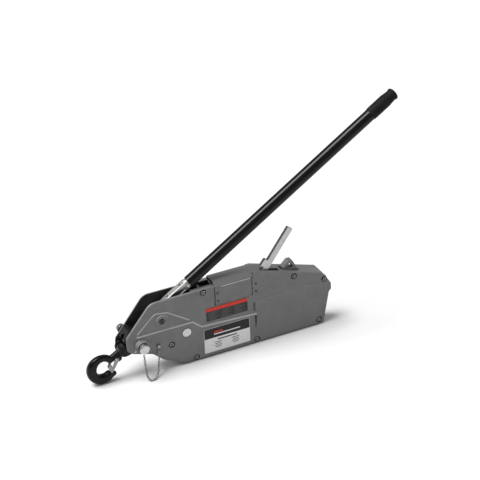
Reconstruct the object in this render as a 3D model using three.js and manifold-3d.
// Wire rope grip puller with an aluminium casing, a forward lever with a tube handle,
// a reverse lever, a release lever and an anchor hook.
//
// Millimetres. +X runs from the hook end to the rope inlet end, -Y is the side with the
// nameplate, +Z is up. The origin is the centre of the casing's flat base.
import * as THREE from 'three';
import { mergeVertices } from 'three/addons/utils/BufferGeometryUtils.js';
import Module from 'manifold-3d';

const wasm = await Module();
wasm.setup();

// ---------------------------------------------------------------- driving dimensions

const GAP = 0.3; // between pieces that touch
const ROUND = 16; // sides of a small round piece

// casing
const SIDE = 18.5; // half width over the upper part of the casing
const BAND = 20; // half width over the raised lower part
const WALL = 4; // thickness of the casing's side walls
const RIM = 4.5; // thickness of the casing's edge walls
const PART_Y = 6; // plane where the two shells meet
const INNER = SIDE - WALL;
const TOP_Z = 150.5; // top of the nose plates
const COVER = { x0: -84.3, x1: -4, z: 157, foot: 108, side: 18.6, skin: 1.7 };
const CASING_BOLTS = {
  bolt_nose: [-174.5, 52],
  bolt_base_front: [-127, 9],
  bolt_flange: [-106, 142.5],
  bolt_base_middle: [-1, 9],
  bolt_release: [81, 123],
  bolt_rear_top: [145.5, 98.5],
  bolt_base_rear: [132, 12],
};
const BOLT = { shank: 3, head: 4.9, headHeight: 4.6, boss: 7, bore: 6.4 };

// forward lever and its drive
const PIVOT = [-190.5, 107.4]; // forward lever's shaft
const LEVER_ANGLE = THREE.MathUtils.degToRad(32.8);
const LEVER_SWING = THREE.MathUtils.degToRad(70);
const TUBE_OFFSET = 10.6; // the handle's axis passes this far above the shaft
const TUBE = { start: 83, end: 572, radius: 11.5, bore: 10 };
const GRIP = { start: 529.5, end: 599, radius: 12.6 };
const CRANK = [-143.3, 69];
const DRIVE_PIN = { reach: 20, radius: 3.5 };
const JAW_PIN = { reach: 26, radius: 3 };

// rope way and jaws
const ROPE = { z: 86, radius: 4 };
const GUIDE_BOLT = [-255.5, 90];
const JAW = { length: 55, front: -75, rear: 40, z0: 62, z1: 110, half: 8.4 };

// small levers
const REVERSE = {
  shaft: [13.5, 134],
  angle: THREE.MathUtils.degToRad(53.3),
  length: 111,
  width: 12.5,
  y: [-10.7, -3.7],
};
const RELEASE = { half: 7 };

// anchor end
const ANCHOR = [-232.5, 67.5];
const HOOK_PIN = [-262, 62];
const BOWL = { x: -306.5, z: 30, radius: 20.4, section: 9.6, half: 8.3 };
const LATCH = { pivot: [-279.5, 46.3], foot: [-291.5, 22.9] };
const BOSS_Y = 26; // outer face of the anchor pin's bosses

// ---------------------------------------------------------------- shape helpers

/** Corner list [x, z, radius] to a point list with each corner rounded by its radius. */
function rounded(corners, steps = 4) {
  const points = [];
  corners.forEach(([x, z, radius = 0], i) => {
    if (radius === 0) {
      points.push(new THREE.Vector2(x, z));
      return;
    }
    const here = new THREE.Vector2(x, z);
    const [ax, az] = corners[(i + corners.length - 1) % corners.length];
    const [bx, bz] = corners[(i + 1) % corners.length];
    const back = new THREE.Vector2(ax, az).sub(here).normalize();
    const on = new THREE.Vector2(bx, bz).sub(here).normalize();
    const half = Math.acos(THREE.MathUtils.clamp(back.dot(on), -1, 1)) / 2;
    const cut = radius / Math.tan(half);
    const start = here.clone().addScaledVector(back, cut);
    const end = here.clone().addScaledVector(on, cut);
    new THREE.QuadraticBezierCurve(start, here, end).getPoints(steps).forEach((p) => points.push(p));
  });
  return points;
}

/** The same corner list moved inwards by a distance (anticlockwise outlines). */
function inset(corners, distance) {
  const count = corners.length;
  return corners.map(([x, z, radius = 0], i) => {
    const [ax, az] = corners[(i + count - 1) % count];
    const [bx, bz] = corners[(i + 1) % count];
    const before = new THREE.Vector2(x - ax, z - az).normalize();
    const after = new THREE.Vector2(bx - x, bz - z).normalize();
    const normal = new THREE.Vector2(-before.y - after.y, before.x + after.x).normalize();
    const reach = distance / (-before.y * normal.x + before.x * normal.y);
    return [x + normal.x * reach, z + normal.y * reach, Math.max(radius - distance, 0)];
  });
}

/** Outline around two circles, for a link or an arm. */
function strap([ax, az], ra, [bx, bz], rb, steps = 8) {
  const along = Math.atan2(bz - az, bx - ax);
  const lean = Math.acos((ra - rb) / Math.hypot(bx - ax, bz - az));
  const points = [];
  for (let i = 0; i <= steps; i += 1) {
    const turn = along + lean + ((2 * Math.PI - 2 * lean) * i) / steps;
    points.push(new THREE.Vector2(ax + ra * Math.cos(turn), az + ra * Math.sin(turn)));
  }
  for (let i = 0; i <= steps; i += 1) {
    const turn = along - lean + (2 * lean * i) / steps;
    points.push(new THREE.Vector2(bx + rb * Math.cos(turn), bz + rb * Math.sin(turn)));
  }
  return points;
}

/** A point at a distance and an angle from another. */
function polar([x, z], reach, angle) {
  return [x + reach * Math.cos(angle), z + reach * Math.sin(angle)];
}

function toSolid(geometry) {
  const bare = geometry.index ? geometry.toNonIndexed() : geometry;
  bare.deleteAttribute('normal');
  bare.deleteAttribute('uv');
  const merged = mergeVertices(bare, 1e-4);
  return new wasm.Manifold(
    new wasm.Mesh({
      numProp: 3,
      vertProperties: new Float32Array(merged.attributes.position.array),
      triVerts: new Uint32Array(merged.index.array),
    }),
  );
}

/** A flat piece with an outline in XZ, from y0 to y1, with an optional bevel on its edges. */
function plate(points, y0, y1, bevel = 0) {
  const geometry = new THREE.ExtrudeGeometry(new THREE.Shape(points), {
    depth: y1 - y0 - 2 * bevel,
    bevelEnabled: bevel > 0,
    bevelThickness: bevel,
    bevelSize: bevel,
    bevelOffset: -bevel,
    bevelSegments: 1,
  });
  geometry.rotateX(Math.PI / 2);
  geometry.translate(0, y1 - bevel, 0);
  return toSolid(geometry);
}

function box(x0, x1, y0, y1, z0, z1) {
  const geometry = new THREE.BoxGeometry(x1 - x0, y1 - y0, z1 - z0);
  geometry.translate((x0 + x1) / 2, (y0 + y1) / 2, (z0 + z1) / 2);
  return toSolid(geometry);
}

/** A round bar along Y. */
function rod([x, z], radius, y0, y1, sides = ROUND) {
  const geometry = new THREE.CylinderGeometry(radius, radius, y1 - y0, sides);
  geometry.translate(x, (y0 + y1) / 2, z);
  return toSolid(geometry);
}

/** A round bar along X. */
function barX(x0, x1, y, z, radius, sides = ROUND) {
  const geometry = new THREE.CylinderGeometry(radius, radius, x1 - x0, sides);
  geometry.rotateZ(Math.PI / 2);
  geometry.translate((x0 + x1) / 2, y, z);
  return toSolid(geometry);
}

/** A round or tapered bar between two points of the middle plane. */
function spar([ax, az], ra, [bx, bz], rb, sides = ROUND) {
  const geometry = new THREE.CylinderGeometry(rb, ra, Math.hypot(bx - ax, bz - az), sides);
  geometry.rotateX(Math.PI / 2);
  geometry.rotateY(-Math.atan2(bz - az, bx - ax) + Math.PI / 2);
  geometry.translate((ax + bx) / 2, 0, (az + bz) / 2);
  return toSolid(geometry);
}

function union(...solids) {
  return solids.reduce((sum, solid) => sum.add(solid));
}

function meshOf(name, solid, material) {
  const { vertProperties, triVerts } = solid.getMesh();
  const geometry = new THREE.BufferGeometry();
  geometry.setAttribute('position', new THREE.BufferAttribute(new Float32Array(vertProperties), 3));
  geometry.setIndex(new THREE.BufferAttribute(new Uint32Array(triVerts), 1));
  geometry.computeVertexNormals();
  const mesh = new THREE.Mesh(geometry, material);
  mesh.name = name;
  return mesh;
}

function finish(color, roughness, metalness) {
  return new THREE.MeshStandardMaterial({ color, roughness, metalness, flatShading: true });
}

const FINISH = {
  casing: finish(0x7c7d7d, 0.55, 0.35),
  steel: finish(0xb9b7b0, 0.35, 0.9),
  darkSteel: finish(0x4a4a4a, 0.45, 0.85),
  blackPaint: finish(0x0c0c0d, 0.25, 0.2),
  rubber: finish(0x17171a, 0.75, 0.0),
  nameplate: finish(0xd5d5d3, 0.5, 0.1),
  warning: finish(0xb83a28, 0.5, 0.1),
};

// ---------------------------------------------------------------- casing

// outline of the shells, anticlockwise from the base's rear corner; their noses differ
const NOSE = {
  near: [[-210, 149, 24], [-261, 89, 14], [-261, 62, 12]],
  far: [[-211, 151, 24], [-270, 78, 6], [-272.5, 58, 8]],
};
const outlineWith = (nose) => [
  [143, 0, 8],
  [156, 67, 1],
  [161, 72, 2],
  [160.5, 85, 5],
  [143, 112.5, 8],
  [4, 155.5, 8],
  [COVER.x1, 155.5],
  [COVER.x1, TOP_Z],
  ...nose,
  [-249, 53.5, 8],
  [-212, 42, 14],
  [-192, 23.5, 26],
  [-148, 0, 40],
];

// the lower part of each side stands proud of the upper part
const BAND_OUTLINE = [
  [137, 3, 8],
  [147.5, 60, 6],
  [141, 94, 10],
  [0.5, 94, 2],
  [0.5, 3],
];
const LABEL_BAND = [
  [1, 3],
  [1, 67.5],
  [-112, 73.5, 6],
  [-130, 89, 4],
  [-245, 89.5, 2],
  [-236, 76, 6],
  [-250, 55.5, 2],
  [-213, 45, 12],
  [-191, 27, 22],
  [-147, 3, 30],
];
// pockets cast between the two raised parts
const POCKETS = [
  [[-5.6, 63.5, 1], [-3.2, 28, 1], [1.8, 62, 1]],
  [[-4.6, 90, 2], [-5, 73, 2], [-0.5, 72, 2], [-0.5, 90, 2]],
];
const PIVOT_PAD = [
  [-130, 90.5, 3],
  [-178, 123, 14],
  [-204, 127.5, 14],
  [-244, 90.5, 3],
];

/** Both slots of the casing's top, the open nose and the way for the rope. */
function openings() {
  const reverseSlot = box(15.2, 55, -12, -2, 130, 170);
  const releaseSlot = box(60, 98, -RELEASE.half - 0.8, RELEASE.half + 0.8, 112, 170);
  const noseFront = box(-300, -203, -INNER, INNER, -10, 200);
  const noseTop = box(-203, -128, -INNER, INNER, 125, 200);
  const leverWay = box(-128, COVER.x0, -8, 8 + GAP, 130, 200);
  const underCover = box(COVER.x0, COVER.x1, -30, 30, 146.5, 170);
  const coverGap = box(COVER.x0 + 4, COVER.x1 - 4, -INNER, INNER, 130, 170);
  const ropeInlet = barX(130, 170, 0, ROPE.z, 9.4, 20);
  return [reverseSlot, releaseSlot, noseFront, noseTop, leverWay, underCover, coverGap, ropeInlet];
}

/** One half of the casing: side -1 is the nameplate's half, side 1 the far one. */
function shell(side) {
  const across = (from, to) => (side < 0 ? [-to, -from] : [from, to]);
  const rim = side < 0 ? PART_Y : -(PART_Y + GAP);
  const corners = outlineWith(side < 0 ? NOSE.near : NOSE.far);
  const outline = rounded(corners);
  let solid = plate(outline, ...across(-rim, SIDE));
  solid = solid.subtract(plate(rounded(inset(corners, RIM)), ...across(-rim - 1, INNER)));

  // bosses for the bolts; those on the lever's way and the release lever stay short
  const bosses = Object.entries(CASING_BOLTS).map(([name, at]) => {
    const inner = name === 'bolt_flange' || name === 'bolt_release' ? 8 + GAP : -rim;
    return rod(at, BOLT.boss, ...across(inner, SIDE));
  });
  solid = solid.add(union(...bosses).intersect(plate(outline, -BAND, BAND)));

  openings().forEach((cut) => {
    solid = solid.subtract(cut);
  });

  // raised lower part, pad around the lever's pivot, bosses of the shafts
  const root = SIDE - 3;
  solid = union(
    solid,
    plate(rounded(BAND_OUTLINE), ...across(root, BAND), 1.2),
    plate(rounded(LABEL_BAND), ...across(root, BAND), 1.2),
    plate(rounded(PIVOT_PAD), ...across(root, SIDE + 1), 0.8),
    rod(PIVOT, 13, ...across(root, SIDE + 2.6), 20),
    rod(ANCHOR, 12, ...across(root, BOSS_Y), 20),
  );

  POCKETS.forEach((corners) => {
    solid = solid.subtract(plate(rounded(corners), ...across(SIDE - 1.2, BAND + 1)));
  });

  // seat for the cover's skirt
  solid = solid.subtract(box(COVER.x0 - 0.4, COVER.x1 - 1, ...across(16.6, BAND + 1), 107.6, 170));

  // holes
  Object.values(CASING_BOLTS).forEach((at) => {
    solid = solid.subtract(rod(at, BOLT.shank + 0.45, ...across(-10, BAND + 1)));
    if (side < 0) {
      solid = solid.subtract(rod(at, BOLT.bore, -BAND - 1, -14.4));
    }
  });
  solid = solid.subtract(rod(ANCHOR, 7.45, ...across(5, BOSS_Y + 1)));
  solid = solid.subtract(rod(CRANK, 9.5, ...across(5, BAND + 1), 20));
  solid = solid.subtract(rod(PIVOT, 6.4, ...across(5, 17.2)));
  solid = solid.subtract(rod(REVERSE.shaft, 6.4, ...across(5, 16.8)));
  return solid;
}

function casingNear() {
  const boltSeat = union(rod(PIVOT, 6.4, -22, -18.7), rod(PIVOT, 3.45, -22, -10));
  const chainHole = rod([-201, 58], 1.9, -22, -15.5, 10);
  let solid = shell(-1).subtract(boltSeat).subtract(chainHole);
  BLOCK_SCREWS.forEach((at) => {
    solid = solid.subtract(rod(at, 1.1, -SIDE - 1, -SIDE + 2, 8));
  });
  return solid;
}

function casingFar() {
  return shell(1).subtract(rod(GUIDE_BOLT, 2.2, 10, 22, 10));
}

/** Sheet cover that bridges the shells behind the lever, with a skirt down each side. */
function topCover() {
  const { side, skin, foot, z, x0, x1 } = COVER;
  const shoulder = z - 9;
  const half = [
    [side, foot],
    [side, shoulder],
    [side - 5.1, z],
  ];
  const inner = [
    [side - 5.8, z - skin],
    [side - skin, shoulder - 0.6],
    [side - skin, foot],
  ];
  const mirror = (points) => points.map(([y, zz]) => [-y, zz]).reverse();
  const ring = [...half, ...mirror(half), ...mirror(inner), ...inner];
  const shape = new THREE.Shape(ring.map(([y, zz]) => new THREE.Vector2(y, zz)));
  const geometry = new THREE.ExtrudeGeometry(shape, { depth: x1 - x0 - 1, bevelEnabled: false });
  geometry.applyMatrix4(new THREE.Matrix4().set(0, 0, 1, x0 + 0.5, 1, 0, 0, 0, 0, 1, 0, 0, 0, 0, 0, 1));
  const gapFront = box(x0 - 1, x0 + 2, -30, 30, foot - 1, shoulder - 1);
  const gapRear = box(x1 - 4.5, x1 + 1, -30, 30, foot - 1, shoulder - 1);
  let solid = toSolid(geometry).subtract(gapFront).subtract(gapRear);
  COVER_SCREWS.forEach((at) => {
    solid = solid.subtract(rod(at, 1.1, -side - 1, -side + skin + 1, 8));
  });
  return solid;
}

const COVER_SCREWS = [
  [-77, 132.6],
  [-77, 116.1],
];
const BLOCK_SCREWS = [
  [1.4, 130.2],
  [1.2, 114.3],
];

/** Socket head bolt along Y with its head on the nameplate's side. */
function socketBolt(at, seat, end) {
  const head = rod(at, BOLT.head, seat - BOLT.headHeight, seat);
  const socket = rod(at, 2.4, seat - BOLT.headHeight - 1, seat - 2, 6);
  return head.add(rod(at, BOLT.shank, seat - 0.1, end, 12)).subtract(socket);
}

function pivotBolt() {
  const head = rod(PIVOT, 5, -21, -19);
  return head.add(rod(PIVOT, 3, -19.1, -8, 12)).subtract(rod(PIVOT, 2.2, -22, -20, 6));
}

function coverScrew(at, face) {
  return rod(at, 2, face - 1, face, 10).add(rod(at, 0.8, face - 0.5, face + 1.4, 8));
}

// ---------------------------------------------------------------- forward lever

const along = (s, n) => {
  const [x, z] = polar(PIVOT, s, LEVER_ANGLE);
  return polar([x, z], n, LEVER_ANGLE + Math.PI / 2);
};

function forwardLever() {
  const end = TUBE.start - 3;
  const flat = (corners) => corners.map(([s, n]) => new THREE.Vector2(...along(s, n)));
  const outline = flat([[4, -3], [30, 1.5], [end, 2], [end, 20], [26, 20], [-2, 14]]);
  const groove = flat([[28, 7], [72, 7], [72, 15], [28, 15]]);
  const armAngle = Math.atan2(CRANK[1] - PIVOT[1], CRANK[0] - PIVOT[0]) - LEVER_SWING / 2;
  const pinAt = polar(PIVOT, DRIVE_PIN.reach, armAngle);
  let solid = union(
    rod(PIVOT, 16, -4.6, 12, 24),
    plate(outline, -4.6, 7),
    plate(outline, -7, -4.5).subtract(rod(PIVOT, 24, -8, 0, 24)),
    spar(along(TUBE.start - 4, TUBE_OFFSET), 9.5, along(150, TUBE_OFFSET), 9.2),
    rod(PIVOT, 7.6, -9, 0),
    plate(strap(PIVOT, 11, pinAt, 6.5), -12.5, -8.8),
    rod(pinAt, DRIVE_PIN.radius, -9, -4.9),
  );
  solid = solid.subtract(rod(PIVOT, 6.35, -20, 20));
  solid = solid.subtract(plate(groove, -8, -5)).subtract(plate(groove, 5, 8));
  SHEAR_PINS.forEach((s) => {
    solid = solid.subtract(spar(along(s, 4), 2.3, along(s, 24), 2.3, 10));
  });
  return solid;
}

const SHEAR_PINS = [38, 68];

function shearPin(s) {
  return spar(along(s, 4.3), 1.9, along(s, 20.4), 1.9, 10);
}

/** A turned piece on the handle's axis, from a profile of [distance along the axis, radius]. */
function turned(profile, sides = 20) {
  const geometry = new THREE.LatheGeometry(profile.map(([s, r]) => new THREE.Vector2(r, s)), sides);
  geometry.rotateX(Math.PI / 2);
  geometry.rotateY(Math.PI / 2 - LEVER_ANGLE);
  const [x, z] = along(0, TUBE_OFFSET);
  geometry.translate(x, 0, z);
  return toSolid(geometry);
}

function handleTube() {
  const { start, end, radius, bore } = TUBE;
  return turned([
    [start, bore],
    [end - 2, bore],
    [end - 2, 0],
    [end, 0],
    [end, radius],
    [start, radius],
    [start, bore],
  ].reverse());
}

function handleGrip() {
  const { start, end, radius } = GRIP;
  const bore = TUBE.radius + GAP;
  return turned([
    [start, bore],
    [TUBE.end + GAP, bore],
    [TUBE.end + GAP, 0],
    [end, 0],
    [end - 0.8, radius - 5],
    [end - 2.6, radius - 1.9],
    [end - 4.6, radius - 0.8],
    [end - 8, radius - 0.8],
    [end - 10, radius - 1.8],
    [end - 22, radius - 0.4],
    [end - 36, radius],
    [start + 14, radius],
    [start + 1, radius - 0.2],
    [start, radius - 0.5],
    [start, bore],
  ].reverse());
}

// ---------------------------------------------------------------- drive and jaws

/** Crank between the lever and the two jaw links; its shaft shows on both sides. */
function driveCrank() {
  const shaftHalf = BAND + 0.8;
  const swing = LEVER_SWING / 2;
  const centre = Math.atan2(PIVOT[1] - CRANK[1], PIVOT[0] - CRANK[0]);
  const apart = Math.hypot(PIVOT[0] - CRANK[0], PIVOT[1] - CRANK[1]);
  const lean = Math.atan2(DRIVE_PIN.reach * Math.sin(swing), apart - DRIVE_PIN.reach * Math.cos(swing));
  const near = apart - DRIVE_PIN.reach;
  const far = Math.hypot(DRIVE_PIN.reach * Math.sin(swing), apart - DRIVE_PIN.reach * Math.cos(swing));
  const arm = centre + lean;
  const jawSlot = JAW_PIN.radius + 0.45;
  const driveSlot = DRIVE_PIN.radius + 1.5;
  let solid = union(
    rod(CRANK, 9, -shaftHalf, shaftHalf, 20),
    plate(strap(CRANK, 12, polar(CRANK, far, arm), 7), -8.4, -4.9),
    plate(strap(polar(CRANK, JAW_PIN.reach + 1, Math.PI / 2 + lean), 7,
      polar(CRANK, JAW_PIN.reach + 1, lean - Math.PI / 2), 7), 4.9, 8.4),
    rod(CRANK, 13, 4.9, 8.4, 20),
  );
  solid = solid.subtract(
    plate(strap(polar(CRANK, near, arm), driveSlot, polar(CRANK, far, arm), driveSlot), -9, -4),
  );
  [Math.PI / 2, -Math.PI / 2].forEach((way) => {
    const inner = polar(CRANK, JAW_PIN.reach, way + lean);
    const outer = polar(CRANK, JAW_PIN.reach + 1, way + lean);
    solid = solid.subtract(plate(strap(inner, jawSlot, outer, jawSlot), 4, 9));
  });
  return solid;
}

/** How far the crank's jaw pins stand from the shaft along X at rest. */
function jawPinShift() {
  const swing = LEVER_SWING / 2;
  const apart = Math.hypot(PIVOT[0] - CRANK[0], PIVOT[1] - CRANK[1]);
  const lean = Math.atan2(DRIVE_PIN.reach * Math.sin(swing), apart - DRIVE_PIN.reach * Math.cos(swing));
  return JAW_PIN.reach * Math.tan(lean);
}

const LINK_Y = [8.8, 12.2];

function frontLink() {
  const pinAt = [CRANK[0] - jawPinShift(), CRANK[1] + JAW_PIN.reach];
  const bar = plate(strap(pinAt, 5.5, [JAW.front + 20, pinAt[1]], 5), ...LINK_Y);
  return bar.add(rod(pinAt, JAW_PIN.radius, 5.2, LINK_Y[0] + 1));
}

function rearLink() {
  const pinAt = [CRANK[0] + jawPinShift(), CRANK[1] - JAW_PIN.reach];
  const foot = [JAW.rear + 14, pinAt[1]];
  const bar = plate(strap(pinAt, 5.5, foot, 5), ...LINK_Y);
  const riser = plate(strap(foot, 5, [foot[0], foot[1] + 34], 5), ...LINK_Y);
  return union(bar, riser, rod(pinAt, JAW_PIN.radius, 5.2, LINK_Y[0] + 1));
}

function jawFrame(x0) {
  const { length, z0, z1, half } = JAW;
  const outer = box(x0, x0 + length, -half, half, z0, z1);
  return outer.subtract(box(x0 - 1, x0 + length + 1, -5.3, 5.3, z0 + 5, z1 - 5));
}

/** One gripping jaw; upper or lower half of the rope's grip. */
function jaw(x0, upper) {
  const inner = [JAW.z0 + 5 + GAP, JAW.z1 - 5 - GAP];
  const [z0, z1] = upper ? [ROPE.z + GAP, inner[1]] : [inner[0], ROPE.z - GAP];
  const block = box(x0 + 8, x0 + JAW.length - 8, -5, 5, z0, z1);
  return block.subtract(barX(x0, x0 + JAW.length, 0, ROPE.z, ROPE.radius + 0.3, 12));
}

function frontGuide() {
  const corners = [[-266, 79.5, 3], [-241, 79.5, 2], [-236, 103, 3], [-252, 103, 6]];
  const block = plate(rounded(corners), -INNER + GAP, INNER - GAP);
  const bore = barX(-270, -230, 0, ROPE.z, ROPE.radius + 1.5);
  return block.subtract(bore).subtract(rod(GUIDE_BOLT, 2.2, 4, 20, 10));
}

function guideBolt() {
  return union(rod(GUIDE_BOLT, 8.2, SIDE + GAP, SIDE + 8, 16), rod(GUIDE_BOLT, 1.9, 5, SIDE + 1, 10));
}

function rearGuide() {
  const bush = barX(141, 157.5, 0, ROPE.z, 9, 20);
  return bush.subtract(barX(130, 170, 0, ROPE.z, ROPE.radius + 1.5));
}

// ---------------------------------------------------------------- small levers

function reverseLever() {
  const { shaft, angle, length, width, y } = REVERSE;
  const at = (s, n) => {
    const p = polar(polar(shaft, s, angle), n, angle + Math.PI / 2);
    return new THREE.Vector2(p[0], p[1]);
  };
  const w = width / 2;
  const bar = [at(0, -w), at(length, -w), at(length, w), at(0, w)];
  const lug = [at(22, w - 1), at(38, w - 1), at(38, w + 6), at(35, w + 7.5), at(22, w + 7.5)];
  const solid = union(rod(shaft, 10, ...y, 20), plate(bar, ...y), plate(lug, ...y));
  return solid.subtract(rod(shaft, 6.35, -20, 20));
}

function releaseLever() {
  const corners = [[63.5, 124], [94, 120.5], [94, 132, 4], [84, 151.5, 4], [76, 152, 4], [63.5, 140, 5]];
  const lug = rounded(corners, 3);
  const pocket = rounded([[70.5, 137.5, 1.5], [86.5, 135, 1.5], [79.5, 146.8, 1.5]], 2);
  const hub = CASING_BOLTS.bolt_release;
  const solid = plate(lug, -RELEASE.half, RELEASE.half).add(rod(hub, 11, -RELEASE.half, RELEASE.half, 20));
  return solid
    .subtract(plate(pocket, -RELEASE.half - 1, RELEASE.half + 1))
    .subtract(rod(hub, BOLT.shank + 0.4, -20, 20));
}

function shaft(at, radius, half) {
  return rod(at, radius, -half, half);
}

/** Lever shaft: its nameplate end is drilled for the pivot bolt. */
function leverShaft() {
  return shaft(PIVOT, 6, 16.9).subtract(rod(PIVOT, 3.45, -20, -7.5));
}

// ---------------------------------------------------------------- anchor end

function anchorPin() {
  const head = rod(ANCHOR, 10, -BOSS_Y - GAP - 9, -BOSS_Y - GAP, 8);
  const tip = new THREE.CylinderGeometry(5.5, 7, 4, ROUND);
  tip.translate(ANCHOR[0], BOSS_Y + 2, ANCHOR[1]);
  return union(head, rod(ANCHOR, 7, -BOSS_Y - 1, BOSS_Y), toSolid(tip));
}

function hookBracket() {
  const cheek = strap(ANCHOR, 12, HOOK_PIN, 13);
  let solid = union(plate(cheek, -12, -7), plate(cheek, 7, 12), box(-249.2, -242.2, -12, 12, 54.5, 73));
  solid = solid.subtract(rod(ANCHOR, 7.4, -20, 20));
  return solid.subtract(rod(HOOK_PIN, 6.35, -20, 20));
}

function hook() {
  const { x, z, radius, section, half } = BOWL;
  const start = THREE.MathUtils.degToRad(42);
  const end = THREE.MathUtils.degToRad(308);
  const route = [];
  for (let i = 0; i <= 16; i += 1) {
    const [px, pz] = polar([x, z], radius, start + ((end - start) * i) / 16);
    route.push(new THREE.Vector3(px, 0, pz));
  }
  const circle = new THREE.Shape();
  circle.absarc(0, 0, section, 0, 2 * Math.PI);
  const bowl = new THREE.ExtrudeGeometry(circle, {
    steps: 24,
    curveSegments: 7,
    extrudePath: new THREE.CatmullRomCurve3(route),
  });
  const bowlEnd = polar([x, z], radius, end);
  const tip = [x + 22.5, z - 15.7];
  const top = polar([x, z], radius, start);
  const forged = union(
    toSolid(bowl),
    spar([bowlEnd[0] - 2, bowlEnd[1]], section - 0.6, tip, 4.6),
    spar(HOOK_PIN, 5.7, top, 8),
    rod([-275, 47], 7, -7.6, 7.6, 14),
    rod(HOOK_PIN, 12, -6, 6, 20),
  );
  const solid = forged.intersect(box(x - 40, HOOK_PIN[0] + 20, -half, half, -5, 90));
  return solid.subtract(rod(HOOK_PIN, 6.35, -20, 20)).subtract(rod(LATCH.pivot, 1.9, -20, 20, 10));
}

function latch() {
  const { pivot, foot } = LATCH;
  const angle = Math.atan2(foot[1] - pivot[1], foot[0] - pivot[0]);
  const spine = plate(strap(polar(pivot, 18, angle), 0.9, foot, 0.9, 4), -10, 10);
  const arm = strap(pivot, 4.2, polar(pivot, 24, angle), 2.2, 6);
  const solid = union(spine, plate(arm, -10, -8.6), plate(arm, 8.6, 10));
  return solid.subtract(rod(pivot, 1.8, -20, 20, 10));
}

function latchPin() {
  return rod(LATCH.pivot, 1.5, -10.6, 10.6, 10);
}

/** The chain that keeps the anchor pin from being lost, as one swept bar. */
const CHAIN = [
  [-234, -31, 53.5],
  [-233.5, -31, 37],
  [-232.3, -31, 20.2],
  [-230.8, -33.5, 6.4],
  [-226.4, -38.6, 1.8],
  [-217.4, -37, 2.2],
  [-209.9, -31.5, 8.9],
  [-205.6, -27, 23.6],
  [-203, -24.6, 40],
  [-202, -23.6, 53],
];

function anchorChain() {
  const circle = new THREE.Shape();
  circle.absarc(0, 0, 1.5, 0, 2 * Math.PI);
  const geometry = new THREE.ExtrudeGeometry(circle, {
    steps: 32,
    curveSegments: 3,
    extrudePath: new THREE.CatmullRomCurve3(CHAIN.map((p) => new THREE.Vector3(...p))),
  });
  return toSolid(geometry);
}

function chainScrew() {
  const at = [-201, 58];
  return union(rod(at, 3.6, -24.5, -22.8, 12), rod(at, 2.2, -23, -20.3, 12), rod(at, 1.5, -20.5, -15.8, 10));
}

// ---------------------------------------------------------------- assembly

const winch = new THREE.Group();
winch.name = 'rope_grip_puller';
const add = (name, solid, material) => winch.add(meshOf(name, solid, material));

add('casing_near', casingNear(), FINISH.casing);
add('casing_far', casingFar(), FINISH.casing);
add('top_cover', topCover(), FINISH.casing);
Object.entries(CASING_BOLTS).forEach(([name, at]) => {
  add(name, socketBolt(at, -14.7, 18), FINISH.steel);
});
add('pivot_bolt', pivotBolt(), FINISH.darkSteel);
COVER_SCREWS.forEach((at, i) => {
  add(`cover_screw_${i + 1}`, coverScrew(at, -COVER.side - GAP), FINISH.darkSteel);
});
BLOCK_SCREWS.forEach((at, i) => {
  add(`cover_screw_${i + 3}`, coverScrew(at, -SIDE - GAP), FINISH.darkSteel);
});
add('nameplate', box(-110, -16, -BAND - 0.8, -BAND - 0.3, 11, 63), FINISH.nameplate);
add('warning_label', box(-102, -18, -SIDE - 0.8, -SIDE - 0.3, 78, 105.5), FINISH.warning);

add('forward_lever', forwardLever(), FINISH.steel);
add('lever_shaft', leverShaft(), FINISH.darkSteel);
SHEAR_PINS.forEach((s, i) => add(`shear_pin_${i + 1}`, shearPin(s), FINISH.darkSteel));
add('handle_tube', handleTube(), FINISH.blackPaint);
add('handle_grip', handleGrip(), FINISH.rubber);

add('drive_crank', driveCrank(), FINISH.steel);
add('front_link', frontLink(), FINISH.darkSteel);
add('rear_link', rearLink(), FINISH.darkSteel);
[['front', JAW.front], ['rear', JAW.rear]].forEach(([name, x0]) => {
  add(`${name}_jaw_frame`, jawFrame(x0), FINISH.darkSteel);
  add(`${name}_jaw_upper`, jaw(x0, true), FINISH.darkSteel);
  add(`${name}_jaw_lower`, jaw(x0, false), FINISH.darkSteel);
});
add('front_rope_guide', frontGuide(), FINISH.steel);
add('guide_bolt', guideBolt(), FINISH.steel);
add('rear_rope_guide', rearGuide(), FINISH.darkSteel);

add('reverse_lever', reverseLever(), FINISH.steel);
add('reverse_shaft', shaft(REVERSE.shaft, 6, 16.5), FINISH.darkSteel);
add('release_lever', releaseLever(), FINISH.casing);

add('anchor_pin', anchorPin(), FINISH.steel);
add('hook_bracket', hookBracket(), FINISH.blackPaint);
add('hook_pin', shaft(HOOK_PIN, 6, 13.5), FINISH.blackPaint);
add('hook', hook(), FINISH.blackPaint);
add('latch', latch(), FINISH.steel);
add('latch_pin', latchPin(), FINISH.steel);
add('anchor_chain', anchorChain(), FINISH.steel);
add('chain_screw', chainScrew(), FINISH.steel);

export default winch;
